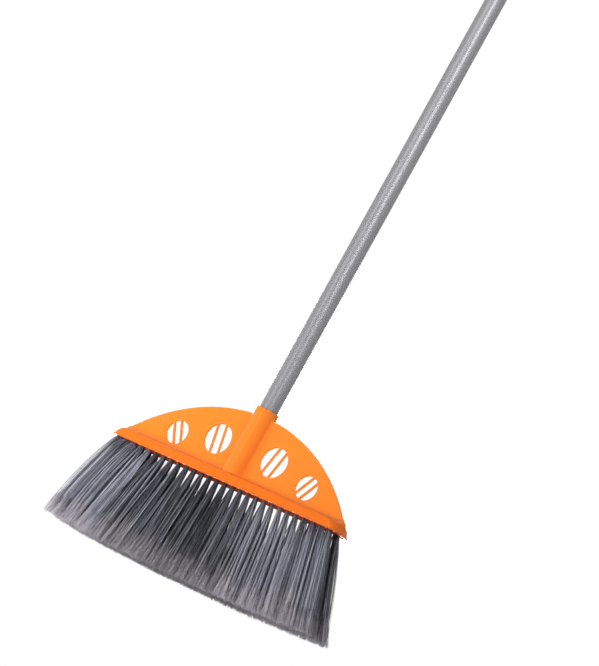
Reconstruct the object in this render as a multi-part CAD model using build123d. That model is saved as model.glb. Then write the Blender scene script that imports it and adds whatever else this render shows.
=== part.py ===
from build123d import *
import os
from math import atan2, cos, degrees

# Soft broom with a fan-shaped head, in millimetres.
# Z = 0 is the floor under the trimmed bristle tips, +Z runs up the handle,
# X runs across the head and -Y is its front.

# Head
bristle_length = 117.5
head_width = 336.0
head_depth = 36.0
head_corner = 9.0
flange_height = 12.0
flange_shoulder = 5.5
end_slope = 36.0
nose_rise = 2.5
wall = 2.4
lip_height = 1.6
lip_step = 0.5
lip_chamfer = 0.4
fan_radius = 225.0
fan_rise = 85.0
fan_thickness = 3.0
fan_chamfer = 0.5
root_round = 2.0

# Windows in the fan: distance from the middle, height above the lower edge, radius
large_window = (42.6, 43.1, 17.3)
small_window = (98.3, 31.9, 13.8)
window_bar = 2.6

# Handle socket
socket_diameter = 27.4
socket_rise = 92.5
seat_rise = 52.0
bore_floor_rise = 16.0
mouth_chamfer = 0.6

# Handle
tube_diameter = 22.0
tube_wall = 0.6
tube_length = 1200.0
running_gap = 0.08
seat_gap = 0.3

# Screw tip
collar_height = 3.0
shank_diameter = 18.6
shank_length = 31.0
shank_nose = 3.0
spigot_length = 38.0
core_diameter = 13.0

# Hanger cap
cap_height = 32.0
cap_rim = 3.0
tongue_thickness = 9.0
tongue_start = 13.0
eye_diameter = 9.0
eye_rise = 20.0
plug_length = 28.0
plug_gap = 0.05

# Tufts, in four staggered rows
tuft_pitch = 11.8
row_pitch = 7.2
row_tufts = (28, 27, 28, 27)
row_names = ("front", "front_middle", "back_middle", "back")
flare_x = 1.23
flare_y = 2.2
strand_width = 2.2
strand_spread = 1.35
strand_bite = 0.4
flat_cut = 0.5
slice_width = 5.4
slice_height = 2.5
slice_gap = 0.05

# Tuft block
block_height = 5.6
block_gap = 0.1
bead_step = 0.4
bead_height = 1.2
bead_rise = 2.8
anchor_size = (7.0, 0.5, 2.5)
anchor_gap = 0.05

# Worked out from the above
lip_z = bristle_length
flange_top = lip_z + flange_height
fan_centre_z = lip_z + fan_rise - fan_radius
socket_top = lip_z + socket_rise
seat_z = lip_z + seat_rise
bore_floor = lip_z + bore_floor_rise
collar_z = seat_z + seat_gap
tube_bottom = collar_z + collar_height + seat_gap
tube_top = tube_bottom + tube_length
tube_radius = tube_diameter / 2
tube_bore = tube_radius - tube_wall
rows = range(len(row_names))
row_ends = [tuft_pitch * (count - 1) / 2 for count in row_tufts]
row_y = [row_pitch * (index - (len(rows) - 1) / 2) for index in rows]
upright = (Align.CENTER, Align.CENTER, Align.MIN)
tolerance = 0.01


# Block with the head's plan, drawn in evenly all round
def plan_block(inset, bottom, height):
    plan = RectangleRounded(head_width - 2 * inset, head_depth - 2 * inset, head_corner - inset)
    return extrude(Pos(0, 0, bottom) * plan, height)


# Upright round bar between two heights
def round_bar(radius, bottom, top):
    return Pos(0, 0, bottom) * Cylinder(radius, top - bottom, align=upright)


# Bar with rounded shoulders that the flange is cut from
def flange_bar():
    bar = Pos(0, 0, lip_z) * Box(2 * fan_radius, head_depth - 2 * lip_step, flange_height, align=upright)
    return fillet(bar.edges().filter_by(Axis.X).group_by(Axis.Z)[-1], flange_shoulder)


# Thin lip round the flange's lower edge
def lip():
    rim = plan_block(0, lip_z, lip_height)
    return chamfer(rim.edges().group_by(Axis.Z)[-1], lip_chamfer)


# Upright disc that the fan is cut from
def disc():
    sketch = Pos(0, fan_centre_z) * Circle(fan_radius)
    return extrude(Plane.XZ * sketch, fan_thickness / 2, both=True)


# Sheet of the disc that stands on the flange
def fan():
    foot = Pos(0, 0, flange_top - wall / 2)
    return disc() & foot * Box(head_width, head_depth, fan_radius, align=upright)


# Waste over the flange's ends, which slope down on both sides of the fan
def end_waste():
    slope_rise = flange_height + root_round - nose_rise
    corner = Rectangle(end_slope, slope_rise, align=(Align.MIN, Align.MIN)) - Ellipse(end_slope, slope_rise)
    corner = Pos(head_width / 2 - end_slope, lip_z + nose_rise) * corner
    ends = extrude(Plane.XZ * (corner + mirror(corner, Plane.YZ)), head_depth, both=True)
    return ends - disc()


# Round window split by two bars that point at the middle of the fan's arc
def window(side, place):
    across, rise, radius = place
    lean = degrees(atan2(across, lip_z + rise - fan_centre_z))
    bars = [Pos(edge * radius / 3, 0) * Rectangle(window_bar, 3 * radius) for edge in (-1, 1)]
    slots = Circle(radius) - bars
    sketch = Pos(side * across, lip_z + rise) * Rot(0, 0, -side * lean) * slots
    return extrude(Plane.XZ * sketch, fan_thickness, both=True)


# Stepped bore: the tube's own size down to the seat, then the screw's
def socket_bore():
    mouth_radius = tube_radius + running_gap
    shank_radius = shank_diameter / 2 + running_gap
    bore = round_bar(mouth_radius, seat_z, socket_top + wall)
    bore += round_bar(shank_radius, bore_floor, seat_z)
    flare = Cone(mouth_radius, mouth_radius + mouth_chamfer, mouth_chamfer, align=upright)
    return bore + Pos(0, 0, socket_top - mouth_chamfer) * flare


# Hollow under the roof of the flange, with a groove for the block's snap bead
def block_shape(gap):
    inset = lip_step + wall + gap
    shape = plan_block(inset, lip_z, block_height - gap)
    bead_z = lip_z + bead_rise + gap
    return shape + plan_block(inset - bead_step, bead_z, bead_height - 2 * gap)


# One moulding: flange, fan, socket and the rounds between them
def head_moulding():
    body = flange_bar() + fan()
    body += round_bar(socket_diameter / 2, flange_top - wall, socket_top)
    body = fillet(body.edges().filter_by(is_root), root_round)
    body -= end_waste()
    body &= plan_block(lip_step, lip_z, socket_rise)
    body = chamfer(body.edges().filter_by(is_fan_rim), fan_chamfer)
    body += lip()
    body -= block_shape(0)
    body -= socket_bore()
    for side in (-1, 1):
        body -= window(side, large_window)
        body -= window(side, small_window)
    return body


# Whether two measures agree within the modelling tolerance
def same(measure, target):
    return abs(measure - target) < tolerance


# Inner corners where the fan meets the flange, and the socket meets both
def is_root(edge):
    centre = edge.center()
    low, high = edge.bounding_box().min, edge.bounding_box().max
    on_flange = same(low.Z, flange_top) and same(high.Z, flange_top)
    on_fan = same(abs(centre.Y), fan_thickness / 2)
    on_socket = same(low.Z, flange_top) and high.Z > flange_top + fan_rise / 2
    reach = abs(centre.X) < socket_diameter / 2
    return (on_flange and (on_fan or reach)) or (on_socket and on_fan and reach)


# Curved edges of the fan
def is_fan_rim(edge):
    return edge.geom_type == GeomType.CIRCLE and same(edge.radius, fan_radius)


# Places of the tufts along one row
def tuft_places(index):
    return [tuft_pitch * place - row_ends[index] for place in range(row_tufts[index])]


# Strip of the block that one row of strands grows from
def row_slice(index, gap):
    length = 2 * row_ends[index] + slice_width
    place = Pos(0, row_y[index], lip_z)
    return place * Box(length - 2 * gap, slice_width - 2 * gap, slice_height, align=upright)


# Flat wire staples standing on one row's strip, one for each tuft
def row_anchors(index):
    staple = Box(*anchor_size, align=upright)
    level = lip_z + slice_height
    return [Pos(x, row_y[index], level) * staple for x in tuft_places(index)]


# Slot in the block that holds one row's staples
def anchor_slot(index):
    length, breadth, height = anchor_size
    slot = Box(2 * row_ends[index] + length, breadth + 2 * anchor_gap, height, align=upright)
    return Pos(0, row_y[index], lip_z + slice_height) * slot


# Block that carries the tufts, grooved for the rows and slotted for their staples
def tuft_block():
    grooves = [row_slice(index, 0) + anchor_slot(index) for index in rows]
    return block_shape(block_gap) - grooves


# Height of a strand's tip: leaning strands end higher, trimmed flat in the middle
def tip_height(x_root):
    lean = atan2(x_root * (flare_x - 1), bristle_length)
    return max(0.0, bristle_length * (1 - cos(lean)) - flat_cut)


# One four-sided lock of bristle, running straight from its root to its tip
def strand(x_root, y_root, side_x, side_y):
    root_x = x_root + side_x * strand_spread
    root_y = y_root + side_y * strand_spread
    root = Vector(root_x, root_y, lip_z + strand_bite)
    tip_x = x_root * flare_x + side_x * tuft_pitch * flare_x / 4
    tip_y = y_root * flare_y + side_y * row_pitch * flare_y / 4
    run = Vector(tip_x, tip_y, tip_height(x_root)) - root
    return extrude(Pos(root) * Rectangle(strand_width, strand_width), run.length, dir=run)


# One row of tufts of four strands, fused to its strip of the block
def bristle_row(index):
    corners = [(side_x, side_y) for side_x in (-1, 1) for side_y in (-1, 1)]
    strands = [
        strand(x, row_y[index], side_x, side_y)
        for x in tuft_places(index)
        for side_x, side_y in corners
    ]
    return row_slice(index, slice_gap) + strands


# Thin-walled tube
def handle_tube():
    outside = round_bar(tube_radius, tube_bottom, tube_top)
    return outside - round_bar(tube_bore, tube_bottom, tube_top)


# Plug with a collar and a screw shank, cored from the top
def screw_tip():
    shank = round_bar(shank_diameter / 2, collar_z - shank_length, collar_z)
    shank = chamfer(shank.edges().group_by(Axis.Z)[0], shank_nose)
    collar = round_bar(tube_radius, collar_z, collar_z + collar_height)
    spigot_top = collar_z + collar_height + spigot_length
    spigot = round_bar(tube_bore - running_gap, collar_z, spigot_top)
    core = round_bar(core_diameter / 2, collar_z - shank_length + 2 * shank_nose, spigot_top)
    return shank + collar + spigot - core


# End cap: plug in the tube, rim and flattened tongue with a hanging eye
def hanger_cap():
    flat = tongue_thickness / 2
    round_top = Pos(0, cap_height - tube_radius) * Circle(tube_radius)
    round_top += Rectangle(tube_diameter, cap_height - tube_radius, align=(Align.CENTER, Align.MIN))
    taper = Polygon(
        (-tube_radius, 0),
        (tube_radius, 0),
        (tube_radius, cap_rim),
        (flat, tongue_start),
        (flat, cap_height),
        (-flat, cap_height),
        (-flat, tongue_start),
        (-tube_radius, cap_rim),
        align=None,
    )
    tongue = round_bar(tube_radius, 0, cap_height)
    tongue &= extrude(Plane.XZ * round_top, tube_radius, both=True)
    tongue &= extrude(Plane.YZ * taper, tube_radius, both=True)
    tongue -= Pos(0, 0, eye_rise) * Rot(90, 0, 0) * Cylinder(eye_diameter / 2, tube_diameter)
    plug = round_bar(tube_bore - plug_gap, -plug_length, 0)
    return Pos(0, 0, tube_top) * (tongue + plug)


pieces = {
    "head_moulding": head_moulding(),
    "tuft_block": tuft_block(),
    "tuft_anchors": Compound(sum((row_anchors(index) for index in rows), [])),
    "handle_tube": handle_tube(),
    "screw_tip": screw_tip(),
    "hanger_cap": hanger_cap(),
}
for index, name in enumerate(row_names):
    pieces["bristles_" + name] = bristle_row(index)

os.makedirs("parts", exist_ok=True)
for node, shape in pieces.items():
    export_step(shape, "parts/" + node + ".step")
    print(node, len(shape.solids()), round(shape.volume))
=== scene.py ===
import bmesh
import bpy
import math
import numpy as np
from mathutils import Matrix, Vector
from mathutils.geometry import delaunay_2d_cdt


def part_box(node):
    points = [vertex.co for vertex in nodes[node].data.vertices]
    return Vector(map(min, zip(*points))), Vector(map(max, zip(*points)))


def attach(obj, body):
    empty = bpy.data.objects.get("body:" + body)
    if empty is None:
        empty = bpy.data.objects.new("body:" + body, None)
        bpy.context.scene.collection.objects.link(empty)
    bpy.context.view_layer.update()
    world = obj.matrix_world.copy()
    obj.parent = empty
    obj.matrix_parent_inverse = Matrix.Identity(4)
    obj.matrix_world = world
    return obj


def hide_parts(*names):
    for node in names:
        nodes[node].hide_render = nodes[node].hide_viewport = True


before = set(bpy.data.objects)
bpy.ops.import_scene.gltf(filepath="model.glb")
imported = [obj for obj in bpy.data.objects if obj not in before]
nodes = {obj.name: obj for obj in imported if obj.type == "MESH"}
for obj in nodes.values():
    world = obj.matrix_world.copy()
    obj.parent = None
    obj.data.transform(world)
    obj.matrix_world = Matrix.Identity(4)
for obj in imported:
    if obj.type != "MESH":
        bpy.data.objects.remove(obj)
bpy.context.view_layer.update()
millimetre = 0.001
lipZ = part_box("head_moulding")[0].z  # lower edge of the head
print("frame loaded with", len(nodes), "nodes, head edge at", round(lipZ, 4))


# Node helpers

def addNode(tree, kind, x=0, y=0, **settings):
    node = tree.nodes.new(kind)
    node.location = (x, y)
    for key, value in settings.items():
        setattr(node, key, value)
    return node


def setInputs(node, **values):
    for key, value in values.items():
        node.inputs[key].default_value = value
    return node


def wire(tree, source, sourceSocket, target, targetSocket):
    tree.links.new(source.outputs[sourceSocket], target.inputs[targetSocket])


def mathNode(tree, operation, x, y, first=None, second=None):
    node = addNode(tree, "ShaderNodeMath", x, y, operation=operation)
    for index, value in enumerate((first, second)):
        if value is None:
            continue
        if isinstance(value, (int, float)):
            node.inputs[index].default_value = value
        else:
            tree.links.new(value, node.inputs[index])
    return node


def mapRange(tree, source, low, high, x, y, fromLow=0.0, fromHigh=1.0, smooth=False):
    node = addNode(tree, "ShaderNodeMapRange", x, y)
    node.interpolation_type = "SMOOTHSTEP" if smooth else "LINEAR"
    node.inputs["From Min"].default_value = fromLow
    node.inputs["From Max"].default_value = fromHigh
    node.inputs["To Min"].default_value = low
    node.inputs["To Max"].default_value = high
    tree.links.new(source, node.inputs["Value"])
    return node.outputs["Result"]


def mixColour(tree, mask, first, second, x, y):
    node = addNode(tree, "ShaderNodeMix", x, y, data_type="RGBA")
    tree.links.new(mask, node.inputs["Factor"])
    inputs = [s for s in node.inputs if s.type == "RGBA"]
    for socket, value in zip(inputs, (first, second)):
        if isinstance(value, tuple):
            socket.default_value = (*value, 1.0)
        else:
            tree.links.new(value, socket)
    return [s for s in node.outputs if s.type == "RGBA"][0]


def newMaterial(name):
    material = bpy.data.materials.new(name)
    material.use_nodes = True
    tree = material.node_tree
    tree.nodes.clear()
    output = addNode(tree, "ShaderNodeOutputMaterial", 900, 0)
    shader = addNode(tree, "ShaderNodeBsdfPrincipled", 600, 0)
    wire(tree, shader, "BSDF", output, "Surface")
    return material, tree, shader


def newGroup(name, inputs, outputs):
    group = bpy.data.node_groups.new(name, "ShaderNodeTree")
    for socket, value in inputs.items():
        made = group.interface.new_socket(socket, in_out="INPUT", socket_type="NodeSocketFloat")
        made.default_value = value
    for socket in outputs:
        group.interface.new_socket(socket, in_out="OUTPUT", socket_type="NodeSocketFloat")
    start = addNode(group, "NodeGroupInput", -900, 0)
    end = addNode(group, "NodeGroupOutput", 700, 0)
    return group, start, end


def placeGroup(tree, group, x, y, **values):
    return setInputs(addNode(tree, "ShaderNodeGroup", x, y, node_tree=group), **values)


# Effects that several finishes share

sharedEffects = {
    "grainDetail": 3.0,
    "mottleDetail": 2.0,
    "markDetail": 2.0,
    "markRange": (0.55, 0.8),  # the part of the noise that shows as marks
}


def makeMouldGrain():
    group, start, end = newGroup(
        "mouldGrain", {"Grain": 0.6, "Mottle": 40.0}, ("Height", "Cloud")
    )  # both sizes in millimetres
    place = addNode(group, "ShaderNodeTexCoord", -900, -250)
    for socket, detail, target, y in (
        ("Grain", "grainDetail", "Height", 150),
        ("Mottle", "mottleDetail", "Cloud", -150),
    ):
        scale = mathNode(group, "DIVIDE", -650, y, 1.0 / millimetre, start.outputs[socket])
        noise = addNode(group, "ShaderNodeTexNoise", -400, y)
        noise.inputs["Detail"].default_value = sharedEffects[detail]
        group.links.new(place.outputs["Object"], noise.inputs["Vector"])
        group.links.new(scale.outputs[0], noise.inputs["Scale"])
        group.links.new(noise.outputs["Fac"], end.inputs[target])
    return group


def makeHandlingMarks():
    group, start, end = newGroup(
        "handlingMarks", {"Length": 30.0, "Width": 0.7, "Amount": 0.3}, ("Mask",)
    )  # fine rubbed lines along the height, in millimetres
    place = addNode(group, "ShaderNodeTexCoord", -900, -250)
    split = addNode(group, "ShaderNodeSeparateXYZ", -700, -250)
    join = addNode(group, "ShaderNodeCombineXYZ", -250, -150)
    group.links.new(place.outputs["Object"], split.inputs[0])
    across = mathNode(group, "DIVIDE", -650, 150, 1.0 / millimetre, start.outputs["Width"])
    along = mathNode(group, "DIVIDE", -650, 0, 1.0 / millimetre, start.outputs["Length"])
    for axis, factor in (("X", across), ("Y", across), ("Z", along)):
        scaled = mathNode(group, "MULTIPLY", -450, 0, split.outputs[axis], factor.outputs[0])
        group.links.new(scaled.outputs[0], join.inputs[axis])
    noise = addNode(group, "ShaderNodeTexNoise", -50, 0)
    setInputs(noise, Scale=1.0, Detail=sharedEffects["markDetail"])
    group.links.new(join.outputs[0], noise.inputs["Vector"])
    lines = mapRange(group, noise.outputs["Fac"], 0.0, 1.0, 200, 0, *sharedEffects["markRange"], smooth=True)
    amount = mathNode(group, "MULTIPLY", 450, 0, lines, start.outputs["Amount"])
    group.links.new(amount.outputs[0], end.inputs["Mask"])
    return group


mouldGrain = makeMouldGrain()
handlingMarks = makeHandlingMarks()
print("shared effects made")


# Finishes

bumpDistance = 0.0002  # metres
cloudRange = (0.3, 0.7)  # the part of the noise that mottles a finish

orangePlastic = {
    "colour": (0.86, 0.168, 0.011),
    "deepColour": (0.84, 0.157, 0.009),
    "paintedLightColour": (0.90, 0.232, 0.024),  # painted light: the fan above the flange is coloured paler to stand in for light let through the thin plastic
    "paintedLightRise": (0.0100, 0.0135),  # where the thick flange ends, above the head's lower edge
    "rubbedColour": (0.97, 0.27, 0.030),
    "roughness": (0.11, 0.16),
    "specular": 0.18,
    "specularTint": (1.0, 0.74, 0.46),
    "grain": 0.9,
    "mottle": 45.0,
    "bump": 0.05,
    "marks": {"Length": 18.0, "Width": 1.1, "Amount": 0.10},
}

basePlastic = {**orangePlastic, "paintedGlow": 0.09}  # painted glow: the underside gives off light of its own colour, standing in for light seeping through


def mouldedPlastic(name, look):
    material, tree, shader = newMaterial(name)
    grain = placeGroup(tree, mouldGrain, -700, 200, Grain=look["grain"], Mottle=look["mottle"])
    marks = placeGroup(tree, handlingMarks, -700, -150, **look["marks"])
    cloud = mapRange(tree, grain.outputs["Cloud"], 0.0, 1.0, -450, 200, *cloudRange)
    base = mixColour(tree, cloud, look["deepColour"], look["colour"], -200, 250)
    # painted light: above the thick flange the colour turns paler
    if "paintedLightColour" in look:
        place = addNode(tree, "ShaderNodeTexCoord", -900, 450)
        split = addNode(tree, "ShaderNodeSeparateXYZ", -700, 450)
        wire(tree, place, "Object", split, "Vector")
        low, high = (lipZ + rise for rise in look["paintedLightRise"])
        paintedFanLight = mapRange(tree, split.outputs["Z"], 0.0, 1.0, -450, 450, low, high, smooth=True)
        base = mixColour(tree, paintedFanLight, base, look["paintedLightColour"], -50, 350)
    rubbed = mixColour(tree, marks.outputs["Mask"], base, look["rubbedColour"], 50, 200)
    tree.links.new(rubbed, shader.inputs["Base Color"])
    low, high = look["roughness"]
    gloss = mapRange(tree, grain.outputs["Cloud"], low, high, -200, -50, *cloudRange)
    dulled = mathNode(tree, "ADD", 100, -50, gloss, marks.outputs["Mask"])
    tree.links.new(dulled.outputs[0], shader.inputs["Roughness"])
    bump = addNode(tree, "ShaderNodeBump", 300, -300)
    setInputs(bump, Strength=look["bump"], Distance=bumpDistance)
    tree.links.new(grain.outputs["Height"], bump.inputs["Height"])
    wire(tree, bump, "Normal", shader, "Normal")
    shader.inputs["Specular IOR Level"].default_value = look["specular"]
    shader.inputs["Specular Tint"].default_value = (*look["specularTint"], 1.0)
    # painted glow: a weak emission in the plastic's own colour lightens the underside
    if "paintedGlow" in look:
        tree.links.new(base, shader.inputs["Emission Color"])
        shader.inputs["Emission Strength"].default_value = look["paintedGlow"]
        material.cycles.emission_sampling = "NONE"
    return material


bristleFibre = {
    "darkFibre": (0.022, 0.023, 0.036),
    "lightFibre": (0.535, 0.54, 0.655),
    "darkTip": (0.27, 0.254, 0.28),
    "lightTip": (0.70, 0.665, 0.73),
    "shaftRoughness": 0.30,
    "tipRoughness": 0.8,
    "tipStart": 0.70,
    "tipEnd": 0.92,
    "fleckAmount": 0.35,
    "fleckMiddle": 0.17,
    "mottle": 9.0,
    "specular": 0.5,
}


def fibreFinish():
    look = bristleFibre
    material, tree, shader = newMaterial("greyFibre")
    tone = addNode(tree, "ShaderNodeAttribute", -900, 200, attribute_name="tone")
    reach = addNode(tree, "ShaderNodeAttribute", -900, -100, attribute_name="reach")
    grain = placeGroup(tree, mouldGrain, -900, 450, Mottle=look["mottle"])
    flecked = mathNode(tree, "MULTIPLY", -650, 350, grain.outputs["Cloud"], look["fleckAmount"])
    shade = mathNode(tree, "ADD", -450, 300, tone.outputs["Fac"], flecked.outputs[0])
    shifted = mathNode(tree, "SUBTRACT", -250, 300, shade.outputs[0], look["fleckMiddle"])
    shaft = mixColour(tree, shifted.outputs[0], look["darkFibre"], look["lightFibre"], -50, 250)
    split = mapRange(tree, reach.outputs["Fac"], 0.0, 1.0, -600, -100, look["tipStart"], look["tipEnd"], True)
    flagged = mixColour(tree, shifted.outputs[0], look["darkTip"], look["lightTip"], -50, 50)
    colour = mixColour(tree, split, shaft, flagged, 200, 200)
    tree.links.new(colour, shader.inputs["Base Color"])
    rough = mapRange(tree, split, look["shaftRoughness"], look["tipRoughness"], 200, -50)
    tree.links.new(rough, shader.inputs["Roughness"])
    shader.inputs["Specular IOR Level"].default_value = look["specular"]
    return material


silverTube = {
    "colour": (0.265, 0.265, 0.277),
    "lineColour": (0.20, 0.20, 0.21),
    "roughness": (0.32, 0.42),
    "metallic": 0.22,
    "specular": 0.25,
    "lineCount": 16.0,  # drawn lines per radian round the tube
    "lineLength": 0.6,  # metres
    "lineDepth": 0.025,
    "lineDetail": 3.0,
    "lineBreak": 0.65,  # how strong the finest lines are
    "lineRange": (0.35, 0.65),
    "grain": 0.03,
    "marks": {"Length": 60.0, "Width": 1.4, "Amount": 0.25},
}


def lacquerFinish():
    look = silverTube
    material, tree, shader = newMaterial("silverLacquer")
    place = addNode(tree, "ShaderNodeTexCoord", -1300, 0)
    split = addNode(tree, "ShaderNodeSeparateXYZ", -1100, 0)
    wire(tree, place, "Object", split, "Vector")
    turn = mathNode(tree, "ARCTAN2", -900, 100, split.outputs["Y"], split.outputs["X"])
    across = mathNode(tree, "MULTIPLY", -720, 100, turn.outputs[0], look["lineCount"])
    along = mathNode(tree, "DIVIDE", -720, -60, split.outputs["Z"], look["lineLength"])
    join = addNode(tree, "ShaderNodeCombineXYZ", -540, 60)
    tree.links.new(across.outputs[0], join.inputs["X"])
    tree.links.new(along.outputs[0], join.inputs["Y"])
    lines = addNode(tree, "ShaderNodeTexNoise", -360, 60)
    setInputs(lines, Scale=1.0, Detail=look["lineDetail"], Roughness=look["lineBreak"])
    wire(tree, join, "Vector", lines, "Vector")
    drawn = mapRange(tree, lines.outputs["Fac"], 0.0, 1.0, -160, 60, *look["lineRange"])
    marks = placeGroup(tree, handlingMarks, -360, -250, **look["marks"])
    grain = placeGroup(tree, mouldGrain, -360, 350, Grain=look["grain"])
    base = mixColour(tree, drawn, look["lineColour"], look["colour"], 60, 200)
    tree.links.new(base, shader.inputs["Base Color"])
    low, high = look["roughness"]
    gloss = mapRange(tree, drawn, low, high, 60, -50)
    dulled = mathNode(tree, "ADD", 260, -80, gloss, marks.outputs["Mask"])
    tree.links.new(dulled.outputs[0], shader.inputs["Roughness"])
    ridge = mathNode(tree, "ADD", 60, -350, drawn, grain.outputs["Height"])
    bump = addNode(tree, "ShaderNodeBump", 300, -350)
    setInputs(bump, Strength=look["lineDepth"], Distance=bumpDistance)
    tree.links.new(ridge.outputs[0], bump.inputs["Height"])
    wire(tree, bump, "Normal", shader, "Normal")
    shader.inputs["Metallic"].default_value = look["metallic"]
    shader.inputs["Specular IOR Level"].default_value = look["specular"]
    return material


charcoalCap = {
    "colour": (0.045, 0.046, 0.05),
    "deepColour": (0.035, 0.036, 0.04),
    "rubbedColour": (0.10, 0.10, 0.105),
    "roughness": (0.42, 0.55),
    "specular": 0.5,
    "specularTint": (1.0, 1.0, 1.0),
    "grain": 0.7,
    "mottle": 20.0,
    "bump": 0.12,
    "marks": {"Length": 18.0, "Width": 1.1, "Amount": 0.25},
}

blackTip = {
    "colour": (0.02, 0.02, 0.021),
    "deepColour": (0.015, 0.015, 0.016),
    "rubbedColour": (0.07, 0.07, 0.07),
    "roughness": (0.36, 0.5),
    "specular": 0.5,
    "specularTint": (1.0, 1.0, 1.0),
    "grain": 0.6,
    "mottle": 15.0,
    "bump": 0.08,
    "marks": {"Length": 18.0, "Width": 1.1, "Amount": 0.2},
}

stapleWire = {
    "colour": (0.62, 0.61, 0.59),
    "dullColour": (0.45, 0.44, 0.43),
    "roughness": (0.28, 0.42),
    "metallic": 1.0,
    "marks": {"Length": 0.3, "Width": 4.0, "Amount": 1.0},
}


def wireFinish():
    look = stapleWire
    material, tree, shader = newMaterial("stapleWire")
    marks = placeGroup(tree, handlingMarks, -500, 0, **look["marks"])
    base = mixColour(tree, marks.outputs["Mask"], look["colour"], look["dullColour"], 100, 200)
    tree.links.new(base, shader.inputs["Base Color"])
    low, high = look["roughness"]
    rough = mapRange(tree, marks.outputs["Mask"], low, high, 100, -50)
    tree.links.new(rough, shader.inputs["Roughness"])
    shader.inputs["Metallic"].default_value = look["metallic"]
    return material


finishes = {
    "head": mouldedPlastic("orangePlastic", orangePlastic),
    "base": mouldedPlastic("basePlastic", basePlastic),
    "fibre": fibreFinish(),
    "tube": lacquerFinish(),
    "cap": mouldedPlastic("charcoalPlastic", charcoalCap),
    "tip": mouldedPlastic("blackPlastic", blackTip),
    "wire": wireFinish(),
}
print("finishes made:", ", ".join(finishes))


# Mesh helpers

def dress(piece, finish):
    piece.data.materials.clear()
    piece.data.materials.append(finishes[finish])


def makePiece(name, mesh, body, slot, finish, *standsFor):
    piece = bpy.data.objects.new(name, mesh)
    bpy.context.scene.collection.objects.link(piece)
    dress(piece, finish)
    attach(piece, body)
    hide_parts(*standsFor)
    return piece


# Head: one moulding, meshed from a distance field so that its roots and shoulders run softly together

headForm = {
    "cell": 0.0008,
    "halfWidth": 0.1705,
    "endLean": 0.30,  # how fast the ends draw in with height
    "halfDepth": 0.018,
    "corner": 0.0096,
    "cornerGrowth": 54.0,  # the corners get rounder with the square of the height
    "lipStep": 0.0005,
    "lipHeight": 0.0016,
    "lipRound": 0.0004,
    "flangeHeight": 0.012,
    "shoulder": 0.0050,
    "fanRadius": 0.225,
    "fanRise": 0.085,
    "fanHalf": 0.1655,  # the fan ends just inside the flange
    "fanThickness": 0.003,
    "rimRound": 0.0007,
    "cove": 0.0085,  # how far the fan's root runs out over the flange
    "socketRadius": 0.0137,
    "socketRise": 0.0925,
    "socketRoot": 0.0026,
    "boreSteps": ((0.016, 0.00938), (0.052, 0.01108)),  # floor above the lower edge, radius
    "pocket": (0.1656, 0.0156, 0.0066),  # half width, half depth, corner
    "pocketRise": 0.0056,
    "windows": ((0.0426, 0.0431, 0.0173), (0.0983, 0.0319, 0.0138)),  # across, rise, radius
    "windowBar": 0.0034,
    "windowEdge": 0.0018,
    "edgeRound": 0.0006,
    "flatNormal": 0.9998,  # flat faces keep few points
    "flatShare": 0.02,
    "flatWeight": 1000.0,
    "margin": 2.5,  # cells of room round the form
    "nudgesPerCell": 20,
    "settleRounds": 3,
}


def smoothStep(value, low, high):
    share = np.clip((value - low) / (high - low), 0.0, 1.0)
    return share * share * (3 - 2 * share)


def roundedBox(x, y, halfWidth, halfDepth, corner):
    across = np.abs(x) - (halfWidth - corner)
    deep = np.abs(y) - (halfDepth - corner)
    outside = np.hypot(np.maximum(across, 0), np.maximum(deep, 0))
    return outside + np.minimum(np.maximum(across, deep), 0) - corner


def roundedEdge(plan, height, rounding):
    across, rise = plan + rounding, height + rounding
    outside = np.hypot(np.maximum(across, 0), np.maximum(rise, 0))
    return outside + np.minimum(np.maximum(across, rise), 0) - rounding


def softUnion(first, second, reach):
    near = np.maximum(reach - np.abs(first - second), 0) / reach
    return np.minimum(first, second) - near * near * reach / 4


def softCut(body, tool, reach):
    return -softUnion(-body, tool, reach)


def windowSlots(x, h):
    form = headForm
    slots = []
    for across, rise, radius in form["windows"]:
        lean = math.atan2(across, rise + form["fanRadius"] - form["fanRise"])
        right, up = np.abs(x) - across, h - rise
        side = right * math.cos(lean) - up * math.sin(lean)
        bars = np.minimum(np.abs(side - radius / 3), np.abs(side + radius / 3)) - form["windowBar"] / 2
        slots.append(np.maximum(np.hypot(right, up) - radius, -bars))
    return np.minimum(*slots)


def headField(x, y, h):
    form = headForm
    step, edge = form["lipStep"], form["edgeRound"]
    width, depth, corner = form["halfWidth"], form["halfDepth"], form["corner"]
    rise = np.clip(h, 0, form["flangeHeight"])
    rounder = corner - step + form["cornerGrowth"] * rise ** 2
    flangePlan = roundedBox(x, y, width - step - form["endLean"] * rise, depth - step, rounder)
    flange = roundedEdge(flangePlan, h - form["flangeHeight"], form["shoulder"])
    lipPlan = roundedBox(x, y, width, depth, corner)
    lip = roundedEdge(lipPlan, h - form["lipHeight"], form["lipRound"])
    disc = np.hypot(x, h - form["fanRise"] + form["fanRadius"]) - form["fanRadius"]
    fanPlan = np.maximum(disc, np.abs(x) - form["fanHalf"])
    fan = roundedEdge(fanPlan, np.abs(y) - form["fanThickness"] / 2, form["rimRound"])
    fan = softCut(fan, windowSlots(x, h), form["windowEdge"])
    axis = np.hypot(x, y)
    socket = roundedEdge(axis - form["socketRadius"], h - form["socketRise"], edge)
    body = softUnion(softUnion(fan, flange, form["cove"]), socket, form["socketRoot"])
    body = softCut(softUnion(body, lip, edge), h, edge)
    pocket = roundedEdge(roundedBox(x, y, *form["pocket"]), h - form["pocketRise"], edge)
    body = softCut(body, pocket, edge)
    for floor, radius in form["boreSteps"]:
        body = softCut(body, np.maximum(axis - radius, floor - h), edge)
    return body


def netCorners():
    return [np.array((i, j, k)) for i in (0, 1) for j in (0, 1) for k in (0, 1)]


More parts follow.
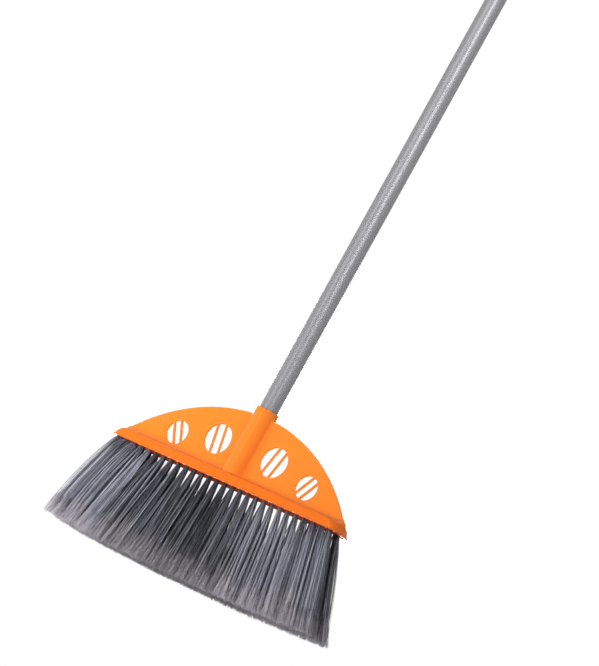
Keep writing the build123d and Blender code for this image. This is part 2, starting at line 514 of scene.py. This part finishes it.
def netPoints(field, cells):
    # each cell's point is the middle of the places where its edges cross the surface
    total, count = np.zeros((len(cells), 3)), np.zeros(len(cells))
    for start in netCorners():
        for axis in range(3):
            if start[axis]:
                continue
            along = np.eye(3, dtype=int)[axis]
            first, second = field[tuple((cells + start).T)], field[tuple((cells + start + along).T)]
            crosses = (first < 0) != (second < 0)
            share = np.where(crosses, first / np.where(crosses, first - second, 1), 0)
            total += (start + along * share[:, None]) * crosses[:, None]
            count += crosses
    return cells + total / count[:, None]


def netMesh(field):
    inside = field < 0
    shape = np.array(field.shape) - 1
    filled = np.zeros(shape, np.int8)
    for corner in netCorners():
        filled += inside[tuple(slice(c, c + n) for c, n in zip(corner, shape))]
    cells = np.argwhere((filled > 0) & (filled < 8))
    index = np.zeros(shape, int)
    index[tuple(cells.T)] = np.arange(len(cells))
    faces = []
    for axis in range(3):
        near, far = np.eye(3, dtype=int)[(axis + 1) % 3], np.eye(3, dtype=int)[(axis + 2) % 3]
        begin = np.take(inside, range(shape[axis]), axis)
        finish = np.take(inside, range(1, shape[axis] + 1), axis)
        edges = np.argwhere(begin != finish)
        leaving = begin[tuple(edges.T)]
        ring = [index[tuple((edges - back).T)] for back in (near + far, far, 0 * near, near)]
        quads = np.stack(ring, 1)
        faces.append(np.where(leaving[:, None], quads, quads[:, ::-1]))
    return netPoints(field, cells), np.vstack(faces)


def headSlope(points):
    # the field's gradient, which is also the surface's normal
    nudge = headForm["cell"] / headForm["nudgesPerCell"]
    sides = []
    for axis in range(3):
        shift = np.eye(3)[axis] * nudge
        sides.append(headField(*(points + shift).T) - headField(*(points - shift).T))
    slope = np.stack(sides, 1) / (2 * nudge)
    return slope / np.maximum(np.linalg.norm(slope, axis=1), 1e-6)[:, None]


def settleOnForm(points):
    for _ in range(headForm["settleRounds"]):
        move = headField(*points.T)[:, None] * headSlope(points)
        points = points - np.clip(move, -headForm["cell"] / 2, headForm["cell"] / 2)
    return points


def thinFlats(mesh, flat):
    # drops most points of the flat faces and none of the curved ones
    holder = bpy.data.objects.new("flats", mesh)
    bpy.context.scene.collection.objects.link(holder)
    holder.vertex_groups.new(name="flat").add(np.flatnonzero(flat).tolist(), 1.0, "REPLACE")
    thinner = holder.modifiers.new("thinner", "DECIMATE")
    thinner.vertex_group = "flat"
    thinner.vertex_group_factor = headForm["flatWeight"]
    thinner.ratio = 1 - flat.mean() * (1 - headForm["flatShare"])
    shaped = holder.evaluated_get(bpy.context.evaluated_depsgraph_get())
    thinned = bpy.data.meshes.new_from_object(shaped)
    bpy.data.objects.remove(holder)
    return thinned


def makeHead():
    form = headForm
    cell = form["cell"]
    room = form["margin"] * cell
    reach = np.array((form["halfWidth"], form["halfDepth"])) + room
    x, y = (np.arange(-half, half + cell, cell) for half in reach)
    h = np.arange(-room, form["socketRise"] + room + cell, cell)
    field = headField(x[:, None, None], y[None, :, None], h[None, None, :])
    points, faces = netMesh(field)
    points = settleOnForm(points * cell + np.array((x[0], y[0], h[0])))
    mesh = bpy.data.meshes.new("head")
    mesh.from_pydata((points + (0, 0, lipZ)).tolist(), [], faces.tolist())
    mesh = thinFlats(mesh, np.abs(headSlope(points)[:, 1]) > form["flatNormal"])
    mesh.name = "head"
    kept = np.empty(len(mesh.vertices) * 3)
    mesh.vertices.foreach_get("co", kept)
    mesh.polygons.foreach_set("use_smooth", [True] * len(mesh.polygons))
    mesh.normals_split_custom_set_from_vertices(headSlope(kept.reshape(-1, 3) - (0, 0, lipZ)))
    print("head has", len(mesh.polygons), "faces")
    return makePiece("head_shell", mesh, "head", "head_plastic", "head", "head_moulding")


makeHead()


# Tuft base: the block under the head, drilled for each tuft

tuftLayout = {
    "pitch": 0.0118,
    "rowPitch": 0.0072,
    "rowTufts": (28, 27, 28, 27),
    "rowNodes": ("bristles_front", "bristles_front_middle", "bristles_back_middle", "bristles_back"),
    "rightShift": 0.0022,  # how much nearer to the end the last tufts on the right stand
    "rightZone": (0.10, 0.16),
}

tuftBase = {
    "corner": 0.006,
    "cornerSides": 8,
    "holeRadius": 0.0027,
    "holeDepth": 0.005,
    "holeSides": 14,
    "weldReach": 1e-7,
    "beadReach": 0.0004,
    "wallSteps": ((0.0027, 0.0), (0.0031, 1.0), (0.0037, 1.0), (0.0041, 0.0)),  # rise, bead share
}


def tuftPlaces(row):
    layout = tuftLayout
    count = layout["rowTufts"][row]
    y = layout["rowPitch"] * (row - (len(layout["rowTufts"]) - 1) / 2)
    evenly = [layout["pitch"] * (i - (count - 1) / 2) for i in range(count)]
    return [(x + layout["rightShift"] * smoothStep(x, *layout["rightZone"]), y) for x in evenly]


def roundedPlan(halfWidth, halfDepth, corner, sides):
    points = []
    for quarter, (sideX, sideY) in enumerate(((1, 1), (-1, 1), (-1, -1), (1, -1))):
        for i in range(sides + 1):
            angle = math.pi / 2 * (quarter + i / sides)
            x = sideX * (halfWidth - corner) + corner * math.cos(angle)
            points.append((x, sideY * (halfDepth - corner) + corner * math.sin(angle)))
    return points


def ringAt(x, y, radius, sides):
    turns = [-2 * math.pi * i / sides for i in range(sides)]
    return [(x + radius * math.cos(turn), y + radius * math.sin(turn)) for turn in turns]


def bridgeRings(build, rings):
    for lower, upper in zip(rings, rings[1:]):
        count = len(lower)
        for i in range(count):
            j = (i + 1) % count
            build.faces.new((lower[i], lower[j], upper[j], upper[i]))


def makeTuftBase():
    look = tuftBase
    low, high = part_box("tuft_block")
    halfWidth, halfDepth = high.x - look["beadReach"], high.y - look["beadReach"]
    loops = [roundedPlan(halfWidth, halfDepth, look["corner"], look["cornerSides"])]
    for row in range(len(tuftLayout["rowNodes"])):
        loops += [ringAt(x, y, look["holeRadius"], look["holeSides"]) for x, y in tuftPlaces(row)]
    flat = [Vector(point) for loop in loops for point in loop]
    starts = np.cumsum([0] + [len(loop) for loop in loops])
    faces = [list(range(starts[k], starts[k + 1])) for k in range(len(loops))]
    filled = delaunay_2d_cdt(flat, [], faces, 1, look["weldReach"])  # 1 keeps to the inside of the outline
    points, _, triangles, origins, _, faceOrigins = filled
    build = bmesh.new()
    ground = [build.verts.new((p.x, p.y, low.z)) for p in points]
    for triangle, origin in zip(triangles, faceOrigins):
        if len(origin) == 1:  # inside the outline and in no hole
            build.faces.new([ground[i] for i in reversed(triangle)])
    lookup = {old: ground[index] for index, source in enumerate(origins) for old in source}
    rings = [[lookup[i] for i in faces[0]]]
    for rise, share in look["wallSteps"] + ((high.z - low.z, 0.0),):
        reach = share * look["beadReach"]
        plan = roundedPlan(halfWidth + reach, halfDepth + reach, look["corner"] + reach, look["cornerSides"])
        rings.append([build.verts.new((x, y, low.z + rise)) for x, y in plan])
    bridgeRings(build, rings)
    build.faces.new(rings[-1])
    for hole in faces[1:]:
        mouth = [lookup[i] for i in hole]
        floor = [build.verts.new((v.co.x, v.co.y, low.z + look["holeDepth"])) for v in mouth]
        bridgeRings(build, [mouth, floor])
        build.faces.new(floor)
    bmesh.ops.recalc_face_normals(build, faces=build.faces)
    mesh = bpy.data.meshes.new("tuft_base")
    build.to_mesh(mesh)
    build.free()
    return makePiece("tuft_base", mesh, "head", "head_plastic", "base", "tuft_block")


makeTuftBase()
print("tuft base drilled")


# Bristles: each tuft is a few locks of fine filaments whose ends are split

bristles = {
    "seed": 27,
    "filaments": 84,
    "locks": 8,
    "strands": 24,
    "strandClump": 0.6,  # how closely the filaments of a strand keep together
    "rootRadius": 0.0023,
    "rootRise": 0.0035,  # how far up the hole a filament starts
    "flareAcross": 1.23,
    "flareDeep": 2.2,
    "sweep": (0.004, 0.0042),  # how far all the tips trail
    "rightZone": (0.02, 0.16),
    "rightReach": (0.004, 0.09),  # right end: how far tips splay out, and how much painted light brightens the filaments
    "rightRows": (1.0, 1.0, 1.0, -0.8),  # share of that splay from the front row to the back
    "leftZone": (0.08, 0.16),
    "leftReach": (0.005, 0.0045),  # left end: how far tips draw in, how far filaments bow out
    "holdZone": (0.140, 0.153),
    "rightHold": 0.5,  # how much less the last tufts on the right open outward
    "flatCut": 0.0005,  # what the trimming takes off the tips
    "tuftSpread": (1.15, 0.75),  # share of the room around a tuft that its tip fills
    "lockWidth": 0.0009,
    "strayShare": 0.07,
    "strayReach": 2.6,
    "openPower": (0.95, 0.6, 0.3),  # how late tufts open out: outer rows, inner rows, at the ends
    "endZone": (0.09, 0.14),
    "endShare": (1.0, 0.9),  # how strongly the left and the right end take what is said of ends
    "endLoose": (2.2, 1.0),  # how much looser the left and the right end tufts are
    "endFray": (0.7, 0.5),  # how little their strands keep together
    "endFill": (0.35, 0.35),  # how much wider they spread
    "bow": 0.0012,
    "unevenness": (0.0006, 0.0011),  # of a filament's and of a strand's length
    "splitTone": 0.26,  # how much the split ends of strands differ in tone
    "filamentRadius": 0.00029,
    "splitRadius": 0.00015,
    "splitEnds": 3,
    "splitReach": 0.0012,
    "splitLoss": 0.0015,
    "shaftSteps": (0.0, 0.03, 0.06, 0.12, 0.22, 0.38, 0.56, 0.74, 0.87),
    "splitSteps": (0.78, 1.0),
    "shaftTaper": ((0.0, 0.7, 0.87), (1.0, 1.0, 0.6)),  # places along the length, shares of the radius
    "splitTaper": ((0.78, 1.0), (1.2, 0.7)),
    "ownLimit": 2,  # how far a filament strays from its lock at most, in standard deviations
    "rowPaintedShade": (0.30, 0.06, 0.06, 0.30),  # painted shade: inner rows are coloured darker, as if shadowed by the outer rows
    "paintedShadeAndSheen": (0.29, 0.27, -0.008),  # painted shade and sheen: tone drifts darker and lighter along the rows; amount, length, darkest place
    "toneSpread": (0.12, 0.15, 0.24, 0.14),  # tuft, lock, strand, filament
    "tipShift": (0.045, 0.035),  # how unevenly the split zone starts: tuft, lock
    "rootPaintedShade": 0.65,  # painted shade: how much darker filaments are coloured at their roots, under the head
    "rootShadeZone": (0.03, 0.30),  # from and to which share of the length
}


def tipRise(x):
    lean = np.arctan2(np.abs(x) * (bristles["flareAcross"] - 1), lipZ)
    return np.maximum(0.0, lipZ * (1 - np.cos(lean)) - bristles["flatCut"])


def sunflower(count, turn):
    index = np.arange(count)
    radius = np.sqrt((index + 0.5) / count)
    angle = index * math.pi * (3 - math.sqrt(5)) + turn
    return np.stack([radius * np.cos(angle), radius * np.sin(angle)], 1)


def nearestHeart(places, hearts):
    return np.argmin(((places[:, None] - hearts[None]) ** 2).sum(2), 1)


def tuftFilaments(row, x, y, chance):
    look = bristles
    inner = 0 < row < len(look["rowPaintedShade"]) - 1
    count = look["filaments"]
    unit = sunflower(count, chance.uniform(0, 2 * math.pi))
    lockUnit = sunflower(look["locks"], chance.uniform(0, 2 * math.pi))
    strandUnit = sunflower(look["strands"], chance.uniform(0, 2 * math.pi))
    lock, strand = (nearestHeart(unit, hearts) for hearts in (lockUnit, strandUnit))
    flare = np.array([look["flareAcross"], look["flareDeep"]])
    room = flare * np.array([tuftLayout["pitch"], tuftLayout["rowPitch"]]) / 2
    stray = chance.uniform(0, 1, count) < look["strayShare"]
    side = 1 if x > 0 else 0
    end = smoothStep(abs(x), *look["endZone"]) * look["endShare"][side]
    outward = lockUnit[:, :1] > 0
    held = 1 - look["rightHold"] * smoothStep(x, *look["holdZone"]) * outward
    lockTip = lockUnit * room * look["tuftSpread"] * (1 + look["endFill"][side] * end) * held
    lockTip = lockTip + chance.normal(0, look["lockWidth"] / 2, lockUnit.shape)
    rightEnd = smoothStep(x, *look["rightZone"])
    leftEnd = smoothStep(-x, *look["leftZone"])
    drawIn, bowOut = (share * leftEnd for share in look["leftReach"])
    # painted light: the right end's filaments are coloured lighter
    splay, paintedRightLight = (share * rightEnd for share in look["rightReach"])
    loose = np.where(stray, look["strayReach"], 1 + look["endLoose"][side] * end) * look["lockWidth"]
    clump = np.where(stray, 0.0, look["strandClump"] * (1 - look["endFray"][side] * end))[:, None]
    limit = look["ownLimit"]
    strandOwn = np.clip(chance.normal(0, 1, (look["strands"], 2)), -limit, limit)
    fibreOwn = np.clip(chance.normal(0, 1, (count, 2)), -limit, limit)
    own = (clump * strandOwn[strand] + (1 - clump) * fibreOwn) * loose[:, None]
    spreads = look["toneSpread"]
    # painted shade in the middle of the rows and painted sheen towards the ends
    amount, length, darkest = look["paintedShadeAndSheen"]
    shade = chance.normal(0, spreads[0]) - amount * math.cos(2 * math.pi * (x - darkest) / length)
    shade = shade + chance.normal(0, spreads[1], look["locks"])[lock] + paintedRightLight
    shade = shade + chance.normal(0, spreads[2], look["strands"])[strand]
    tuftShift, lockShift = look["tipShift"]
    shift = chance.normal(0, tuftShift) + chance.normal(0, lockShift, look["locks"])[lock]
    short, strandShort = look["unevenness"]
    shorter = np.abs(chance.normal(0, strandShort, look["strands"]))
    tipX = x * look["flareAcross"] + splay * look["rightRows"][row] + drawIn
    return {
        "root": np.array([x, y]),
        "tip": np.array([tipX, y * look["flareDeep"]]) + look["sweep"],
        "rootOffset": unit * look["rootRadius"],
        "tipOffset": lockTip[lock] + own,
        "power": look["openPower"][1 if inner else 0] * (1 - end) + look["openPower"][2] * end,
        "bow": chance.normal(0, look["bow"], (look["locks"], 2))[lock] - np.array([bowOut, 0.0]),
        "tipZ": tipRise(x) + np.abs(chance.normal(0, short, count)) + shorter[strand],
        "strand": strand,
        # the row's tone carries painted shade on the inner rows
        "tone": np.clip(look["rowPaintedShade"][row] + shade + chance.normal(0, spreads[3], count), 0, 1),
        "shift": shift,
    }


def filamentPath(tuft, step):
    top = lipZ + bristles["rootRise"]
    mouth = bristles["rootRise"] / top  # filaments stay together inside their hole
    opened = max(0.0, (step - mouth) / (1 - mouth))
    share = opened ** tuft["power"] if opened > 0 else 0.0
    place = tuft["root"] * (1 - opened) + tuft["tip"] * opened
    place = place + tuft["rootOffset"] * (1 - share) + tuft["tipOffset"] * share
    place = place + tuft["bow"] * math.sin(math.pi * opened)
    height = top + (tuft["tipZ"] - top) * step
    return np.column_stack([place, height])


def tubeMesh(centres, radii, turn):
    # centres: (tubes, rings, 3); every ring is a level triangle
    tubes, rings = centres.shape[:2]
    angle = turn[:, None, None] + np.arange(3)[None, None] * 2 * math.pi / 3
    ring = np.stack([np.cos(angle), np.sin(angle), np.zeros_like(angle)], 3)
    points = centres[:, :, None] + radii[None, :, None, None] * ring
    base = np.arange(tubes)[:, None, None] * rings * 3
    level = np.arange(rings - 1)[None, :, None] * 3
    side = np.arange(3)[None, None]
    near = base + level + side
    far = base + level + (side + 1) % 3
    quads = np.stack([near, near + 3, far + 3, far], 3).reshape(-1, 4)
    first = np.arange(tubes) * rings * 3
    last = first + (rings - 1) * 3
    caps = np.vstack([np.stack([first, first + 1, first + 2], 1), np.stack([last + 2, last + 1, last], 1)])
    return points.reshape(-1, 3), quads, caps


def makeBristleRow(row, node):
    look = bristles
    chance = np.random.RandomState(look["seed"] + row)
    shafts, splits, tones, splitTones, shifts = [], [], [], [], []
    for x, y in tuftPlaces(row):
        tuft = tuftFilaments(row, x, y, chance)
        shafts.append(np.stack([filamentPath(tuft, step) for step in look["shaftSteps"]], 1))
        tones.append(tuft["tone"])
        shifts.append(tuft["shift"])
        tipTone = chance.normal(0, look["splitTone"], look["strands"])[tuft["strand"]]
        for _ in range(look["splitEnds"]):
            path = np.stack([filamentPath(tuft, step) for step in look["splitSteps"]], 1)
            path[:, -1, :2] += chance.normal(0, look["splitReach"], (look["filaments"], 2))
            path[:, -1, 2] += chance.uniform(0, look["splitLoss"], look["filaments"])
            splits.append(path)
            splitTones.append(np.clip(tuft["tone"] + tipTone, 0, 1))
    splitShifts = np.repeat(shifts, look["splitEnds"], axis=0).ravel()
    shaftSteps, splitSteps = np.array(look["shaftSteps"]), np.array(look["splitSteps"])
    shaftRadii = look["filamentRadius"] * np.interp(shaftSteps, *look["shaftTaper"])
    splitRadii = look["splitRadius"] * np.interp(splitSteps, *look["splitTaper"])
    allPoints, allFaces, allTones, allReach = [], [], [], []
    offset = 0
    for centres, radii, tone, shift, steps in (
        (np.vstack(shafts), shaftRadii, np.concatenate(tones), np.concatenate(shifts), shaftSteps),
        (np.vstack(splits), splitRadii, np.concatenate(splitTones), splitShifts, splitSteps),
    ):
        points, quads, caps = tubeMesh(centres, radii, chance.uniform(0, 2 * math.pi, len(centres)))
        allPoints.append(points)
        allFaces += (quads + offset).tolist() + (caps + offset).tolist()
        # painted shade: filaments darken towards their roots
        shaded = 1 - look["rootPaintedShade"] * (1 - smoothStep(steps, *look["rootShadeZone"]))
        allTones.append(np.repeat(tone[:, None] * shaded[None], 3, axis=1).ravel())
        allReach.append((shift[:, None] + np.repeat(steps, 3)[None]).ravel())
        offset += len(points)
    name = node.replace("bristles", "filaments")
    mesh = bpy.data.meshes.new(name)
    mesh.from_pydata(np.vstack(allPoints).tolist(), [], allFaces)
    for label, values in (("tone", allTones), ("reach", allReach)):
        layer = mesh.attributes.new(label, "FLOAT", "POINT")
        layer.data.foreach_set("value", np.concatenate(values).astype(np.float32))
    mesh.polygons.foreach_set("use_smooth", [True] * len(mesh.polygons))
    mesh.update()
    piece = makePiece(name, mesh, "head", "bristle", "fibre", node)
    print("row", name, "has", len(mesh.polygons), "faces")
    return piece


for row, node in enumerate(tuftLayout["rowNodes"]):
    makeBristleRow(row, node)


# CAD nodes that keep their own shape

for node, finish in (
    ("tuft_anchors", "wire"),
    ("handle_tube", "tube"),
    ("screw_tip", "tip"),
    ("hanger_cap", "cap"),
):
    dress(nodes[node], finish)
print("CAD nodes dressed")


# Stage

cameraFit = {
    "yaw": 39.5308,  # degrees round from the head's front towards its right
    "pitch": -8.8876,  # below the head
    "roll": 28.9991,
    "distance": 3.827905,
    "edgePixel": (227.0578, 485.5169),  # where the middle of the head's lower edge shows
    "pixelsPerMetre": 921.583,
    "imageSize": (599, 666),
    "sensor": 36.0,
    "clipEnd": 50.0,
}


def placeCamera():
    fit = cameraFit
    yaw, pitch, roll = (math.radians(fit[key]) for key in ("yaw", "pitch", "roll"))
    back = Vector((math.sin(yaw) * math.cos(pitch), -math.cos(yaw) * math.cos(pitch), math.sin(pitch)))
    right = Vector((math.cos(yaw), math.sin(yaw), 0.0))
    up = back.cross(right)
    right, up = right * math.cos(roll) + up * math.sin(roll), up * math.cos(roll) - right * math.sin(roll)
    focalPixels = fit["pixelsPerMetre"] * fit["distance"]
    width, height = fit["imageSize"]
    shiftX = (fit["edgePixel"][0] - width / 2) / fit["pixelsPerMetre"]
    shiftY = (height / 2 - fit["edgePixel"][1]) / fit["pixelsPerMetre"]
    edge = Vector((0.0, 0.0, lipZ))
    place = edge + back * fit["distance"] - right * shiftX - up * shiftY
    camera = bpy.data.cameras.new("photoCamera")
    camera.sensor_width = fit["sensor"]
    camera.lens = focalPixels / max(width, height) * fit["sensor"]
    camera.clip_end = fit["clipEnd"]
    holder = bpy.data.objects.new("photoCamera", camera)
    holder.matrix_world = Matrix.Translation(place) @ Matrix((right, up, back)).transposed().to_4x4()
    bpy.context.scene.collection.objects.link(holder)
    bpy.context.scene.camera = holder
    print("camera at", [round(value, 3) for value in place], "lens", round(camera.lens, 1))


studioLights = {
    "frontStrip": {"place": (-0.27, -2.15, 0.0), "aim": (0.0, 0.0, 0.12), "size": (0.07, 2.0), "power": 9.8},
    "sideCard": {"place": (-0.50, -0.42, 0.0), "aim": (0.0, 0.0, 0.14), "size": (0.5, 0.3), "power": 2.8},
    "rightFill": {"place": (1.25, -0.75, -0.12), "aim": (0.08, 0.0, 0.10), "size": (0.5, 0.5), "power": 3.3},
    "underFill": {"place": (-0.20, -0.30, -0.85), "aim": (0.0, 0.0, 0.0), "size": (0.8, 0.4), "power": 2.8},
    "handleSoftbox": {"place": (1.22, -1.22, 1.15), "aim": (0.0, 0.0, 0.76), "size": (0.9, 0.9), "power": 2.7,
                      "spread": 45.0},
    "handleCard": {"place": (-0.25, -1.4, 0.95), "aim": (0.0, 0.0, 0.55), "size": (0.3, 0.9), "power": 5.4},
    "backSoftbox": {"place": (-1.4, 2.1, 0.3), "aim": (0.0, 0.0, 0.3), "size": (2.4, 1.0), "power": 85.0},
}
fullSpread = 180.0  # degrees


def placeLights():
    for name, setting in studioLights.items():
        light = bpy.data.lights.new(name, "AREA")
        light.shape = "RECTANGLE"
        light.size, light.size_y = setting["size"]
        light.energy = setting["power"]
        light.spread = math.radians(setting.get("spread", fullSpread))
        lamp = bpy.data.objects.new(name, light)
        place, aim = Vector(setting["place"]), Vector(setting["aim"])
        lamp.location = place
        lamp.rotation_euler = (aim - place).to_track_quat("-Z", "Y").to_euler()
        bpy.context.scene.collection.objects.link(lamp)


studioFloor = {
    "radius": 2.6,
    "fadeStart": 0.9,
    "fadeEnd": 2.4,
    "drop": 0.0005,  # just under the tips
    "colour": (0.86, 0.86, 0.86),
    "roughness": 0.9,
    "seenWhite": 0.72,  # added where the camera sees it, so that only shadows show
    "sides": 96,
}
surroundings = {"ambient": 0.18, "seen": 1.0, "white": (1.0, 1.0, 1.0), "black": (0.0, 0.0, 0.0)}


def rayIsSeen(tree, x, y):
    path = addNode(tree, "ShaderNodeLightPath", x, y)
    straight, mirrored = path.outputs["Is Camera Ray"], path.outputs["Is Glossy Ray"]
    first = mathNode(tree, "MAXIMUM", x + 200, y, straight, mirrored)
    both = mathNode(tree, "MAXIMUM", x + 400, y, first.outputs[0], path.outputs["Is Transmission Ray"])
    return both.outputs[0]


def makeSurroundings():
    world = bpy.data.worlds.new("whiteStudio")
    world.use_nodes = True
    tree = world.node_tree
    tree.nodes.clear()
    output = addNode(tree, "ShaderNodeOutputWorld", 600, 0)
    seen = addNode(tree, "ShaderNodeBackground", 200, -150)
    light = addNode(tree, "ShaderNodeBackground", 200, 50)
    setInputs(seen, Color=(*surroundings["white"], 1.0), Strength=surroundings["seen"])
    setInputs(light, Color=(*surroundings["white"], 1.0), Strength=surroundings["ambient"])
    mix = addNode(tree, "ShaderNodeMixShader", 400, 0)
    tree.links.new(rayIsSeen(tree, -500, 200), mix.inputs["Fac"])
    tree.links.new(light.outputs[0], mix.inputs[1])
    tree.links.new(seen.outputs[0], mix.inputs[2])
    wire(tree, mix, "Shader", output, "Surface")
    bpy.context.scene.world = world


def makeFloor():
    look = studioFloor
    build = bmesh.new()
    bmesh.ops.create_circle(build, cap_ends=True, segments=look["sides"], radius=look["radius"])
    mesh = bpy.data.meshes.new("studioFloor")
    build.to_mesh(mesh)
    build.free()
    floor = bpy.data.objects.new("studioFloor", mesh)
    bpy.context.scene.collection.objects.link(floor)
    floor.location.z = -look["drop"]
    material, tree, shader = newMaterial("paleFloor")
    material.cycles.emission_sampling = "NONE"
    setInputs(shader, Roughness=look["roughness"])
    shader.inputs["Base Color"].default_value = (*look["colour"], 1.0)
    seen = rayIsSeen(tree, -600, 300)
    whitened = mixColour(tree, seen, surroundings["black"], surroundings["white"], 150, 300)
    tree.links.new(whitened, shader.inputs["Emission Color"])
    shader.inputs["Emission Strength"].default_value = look["seenWhite"]
    place = addNode(tree, "ShaderNodeTexCoord", -700, 0)
    reach = addNode(tree, "ShaderNodeVectorMath", -500, 0, operation="LENGTH")
    tree.links.new(place.outputs["Object"], reach.inputs[0])
    fade = mapRange(tree, reach.outputs["Value"], 0.0, 1.0, -300, 0, look["fadeStart"], look["fadeEnd"], True)
    side = addNode(tree, "ShaderNodeNewGeometry", -500, -250)
    path = addNode(tree, "ShaderNodeLightPath", -500, -500)  # lamps reach through it from below
    unseen = mathNode(tree, "MAXIMUM", -250, -300, side.outputs["Backfacing"], path.outputs["Is Shadow Ray"])
    hidden = mathNode(tree, "MAXIMUM", -50, -100, fade, unseen.outputs[0])
    clear = addNode(tree, "ShaderNodeBsdfTransparent", 300, -200)
    mix = addNode(tree, "ShaderNodeMixShader", 750, 0)
    tree.links.new(hidden.outputs[0], mix.inputs["Fac"])
    tree.links.new(shader.outputs["BSDF"], mix.inputs[1])
    tree.links.new(clear.outputs[0], mix.inputs[2])
    output = [node for node in tree.nodes if node.type == "OUTPUT_MATERIAL"][0]
    wire(tree, mix, "Shader", output, "Surface")
    mesh.materials.append(material)


placeCamera()
placeLights()
makeSurroundings()
makeFloor()
bpy.context.scene.view_settings.view_transform = "Standard"
print("stage set")
